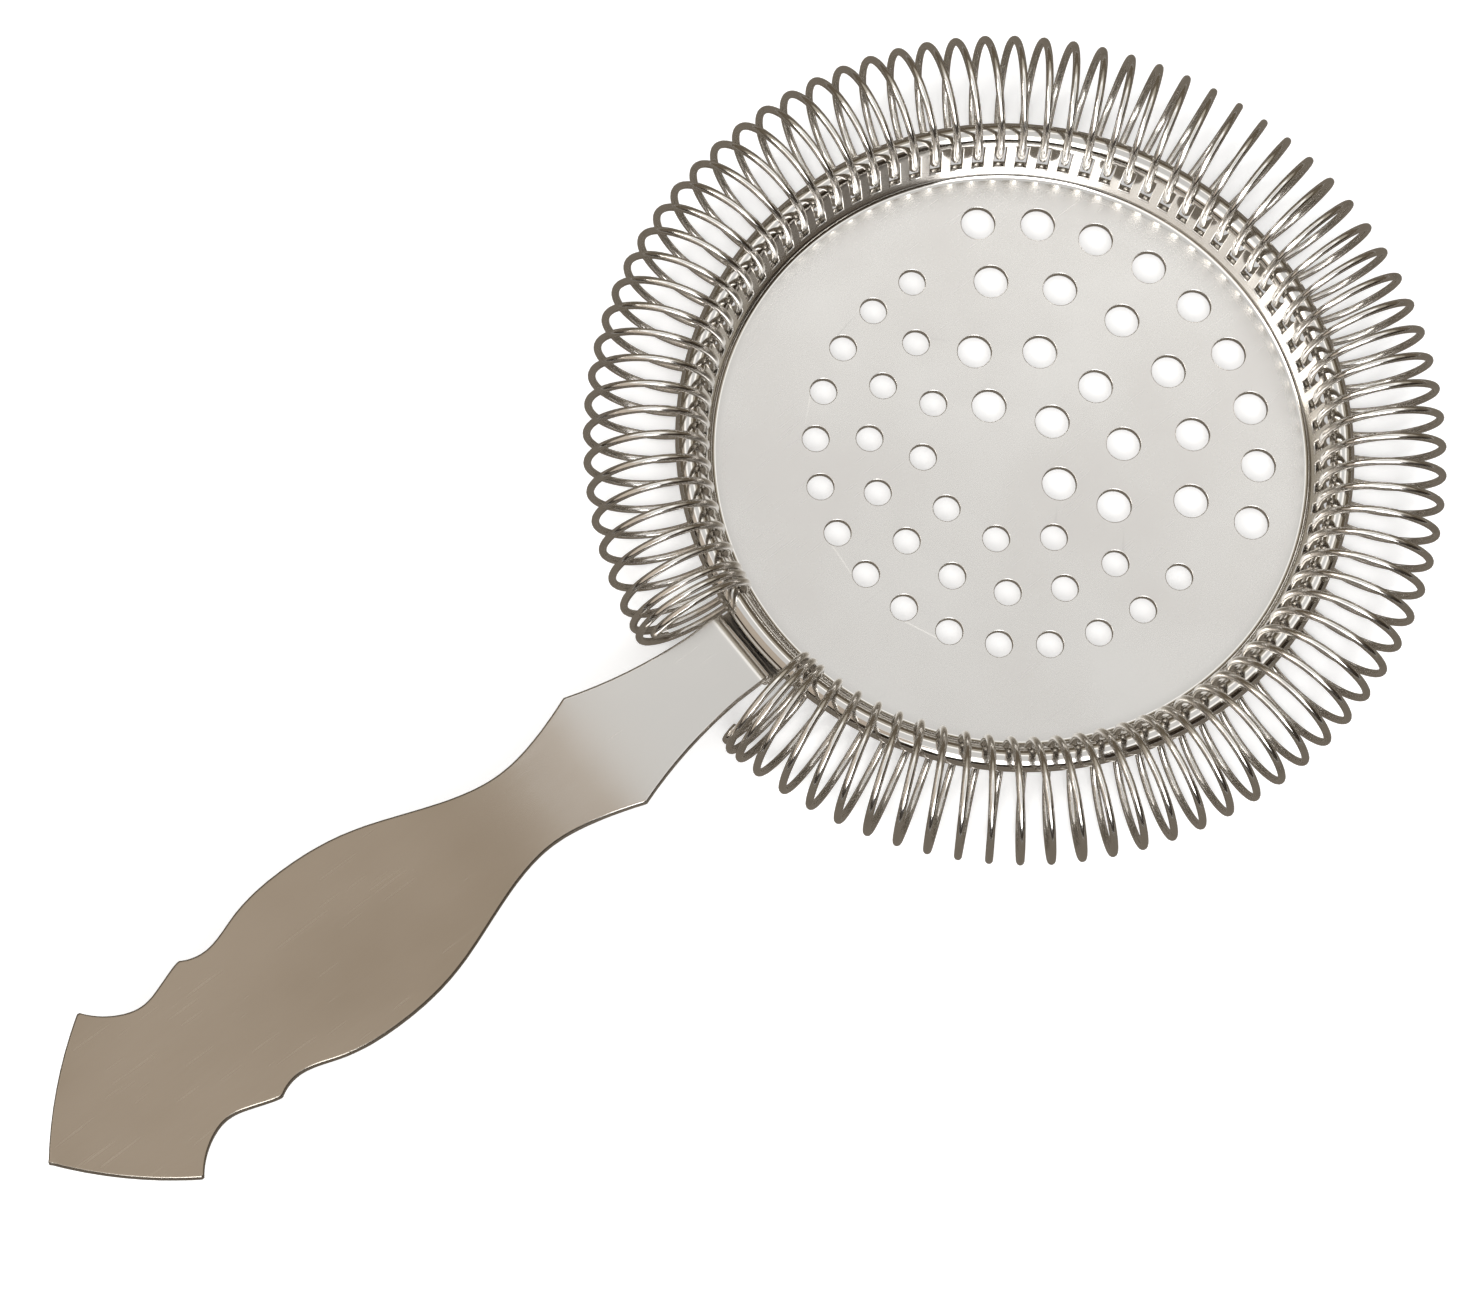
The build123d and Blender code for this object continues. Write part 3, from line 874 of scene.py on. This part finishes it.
# %% The table and the sky
table_material, table_nodes = new_finish("pale_table")
table_shader = table_nodes.add("ShaderNodeBsdfPrincipled", {
    "Base Color": (0.88, 0.88, 0.88, 1.0), "Roughness": 0.75, "Specular IOR Level": 0.2,
    "Emission Color": (1.0, 1.0, 1.0, 1.0), "Emission Strength": 0.42})
table_output = table_nodes.tree.nodes.new("ShaderNodeOutputMaterial")
table_nodes.tree.links.new(table_shader.socket, table_output.inputs["Surface"])


def flat_card(name, corners, material):
    mesh = bpy.data.meshes.new(name)
    mesh.from_pydata(corners, [], [tuple(range(len(corners)))])
    mesh.materials.append(material)
    card = new_piece(name, mesh)
    return card


def rectangle(low, high, height):
    return [(low[0], low[1], height), (high[0], low[1], height),
            (high[0], high[1], height), (low[0], high[1], height)]


TABLE_HEIGHT = cad_box[0].z
table = flat_card("table", rectangle((-4, -4), (4, 4), TABLE_HEIGHT), table_material)
table.visible_glossy = False

world = bpy.data.worlds.new("pale_sky")
world.use_nodes = True
world.node_tree.nodes["Background"].inputs["Color"].default_value = (1.0, 0.995, 0.985, 1.0)
world.node_tree.nodes["Background"].inputs["Strength"].default_value = 0.76
bpy.context.scene.world = world

# %% Soft boxes


def soft_box(name, place, size, power, colour=(1.0, 1.0, 1.0)):
    """A square light that faces the strainer."""
    light = bpy.data.lights.new(name, "AREA")
    light.shape, light.size, light.energy, light.color = "SQUARE", size, power, colour
    box = new_piece(name, light)
    box.location = place
    box.rotation_mode = "QUATERNION"
    box.rotation_quaternion = (-Vector(place)).to_track_quat("-Z", "Y")
    return box


soft_box("window_box", (-0.50, -0.75, 0.82), 0.7, 7.0)
soft_box("left_box", (-0.75, 0.55, 0.85), 0.4, 3.0, (1.0, 0.97, 0.93))

# %% Cards that only reflections see


def reflection_only(card):
    card.visible_camera = card.visible_diffuse = card.visible_shadow = False
    card.visible_transmission = card.visible_volume_scatter = False
    return card


def card_colour(name, colour):
    material, nodes = new_finish(name)
    glow = nodes.add("ShaderNodeEmission", {"Color": (*colour, 1.0), "Strength": 1.0})
    output = nodes.tree.nodes.new("ShaderNodeOutputMaterial")
    nodes.tree.links.new(glow.socket, output.inputs["Surface"])
    return material


def band_card(name, low, high, first, last, material, steps=24):
    """A band from a low to a high (radius, height), between two angles round the table."""
    mesh = bmesh.new()
    columns = []
    for step in range(steps + 1):
        angle = first + (last - first) * step / steps
        ends = [ring_point(radius, angle, height) for radius, height in (low, high)]
        columns.append([mesh.verts.new(end) for end in ends])
    for (a, b), (c, d) in zip(columns, columns[1:]):
        mesh.faces.new((a, c, d, b))
    data = bpy.data.meshes.new(name)
    mesh.to_mesh(data)
    mesh.free()
    data.materials.append(material)
    card = new_piece(name, data)
    return reflection_only(card)


# Each ring of cards runs between two (radius, height) pairs. The handle's side of the room is
# dark apart from its window, and the other side is cream. Sides are given in degrees from +X.
BAND_FOOT, BAND_TOP, BAND_COLLAR, RING_TOP = (1.2, 0.02), (1.2, 0.85), (0.9, 1.25), (0.62, 1.45)
WINDOW_FOOT = (1.2, 0.70)
NEAR_SIDE, FAR_SIDE = (140, 320), (-40, 140)
for name, low, high, side, colour in (
    ("near_band", BAND_FOOT, BAND_TOP, NEAR_SIDE, (0.030, 0.022, 0.015)),
    ("far_band", BAND_FOOT, BAND_TOP, FAR_SIDE, (0.13, 0.105, 0.075)),
    ("near_collar", BAND_TOP, BAND_COLLAR, (250, 320), (0.14, 0.115, 0.09)),
    ("front_window", WINDOW_FOOT, BAND_COLLAR, (148, 250), (1.5, 1.49, 1.47)),
    ("far_collar", BAND_TOP, BAND_COLLAR, (-40, 148), (0.46, 0.42, 0.35)),
    ("sky_ring", BAND_COLLAR, RING_TOP, (0, 360), (1.3, 1.29, 1.27)),
):
    band_card(name, low, high, *side, card_colour(name, colour))
low_card = card_colour("low_card", (0.19, 0.165, 0.135))
warm_card = card_colour("warm_card", (0.54, 0.465, 0.385))
reflection_only(flat_card("low_card", rectangle((-1, -1), (1, 1), TABLE_HEIGHT), low_card))
over_grip = rectangle((-0.20, -0.05), (-0.056, 0.08), 0.06)
reflection_only(flat_card("grip_card", over_grip, warm_card))

# %% The camera
VIEW_AZIMUTH, VIEW_ELEVATION, VIEW_ROLL = radians(-48.02), radians(74.16), radians(9.84)
VIEW_DISTANCE = 0.5
VIEW_AIM = Vector((-41.8, 2.9, -1.6)) * MM
camera_data = bpy.data.cameras.new("camera")
camera_data.sensor_width = 36.0
camera_data.lens = 101.86
camera_data.clip_start = 0.01
camera = new_piece("camera", camera_data)
back = Vector((sin(VIEW_AZIMUTH) * cos(VIEW_ELEVATION), -cos(VIEW_AZIMUTH) * cos(VIEW_ELEVATION),
               sin(VIEW_ELEVATION)))
right = Vector((cos(VIEW_AZIMUTH), sin(VIEW_AZIMUTH), 0.0))
level_view = Matrix((right, back.cross(right), back)).transposed()
camera.matrix_world = (Matrix.Translation(VIEW_AIM + back * VIEW_DISTANCE)
                       @ level_view.to_4x4() @ Matrix.Rotation(VIEW_ROLL, 4, "Z"))
bpy.context.scene.camera = camera
bpy.context.scene.view_settings.view_transform = "Standard"
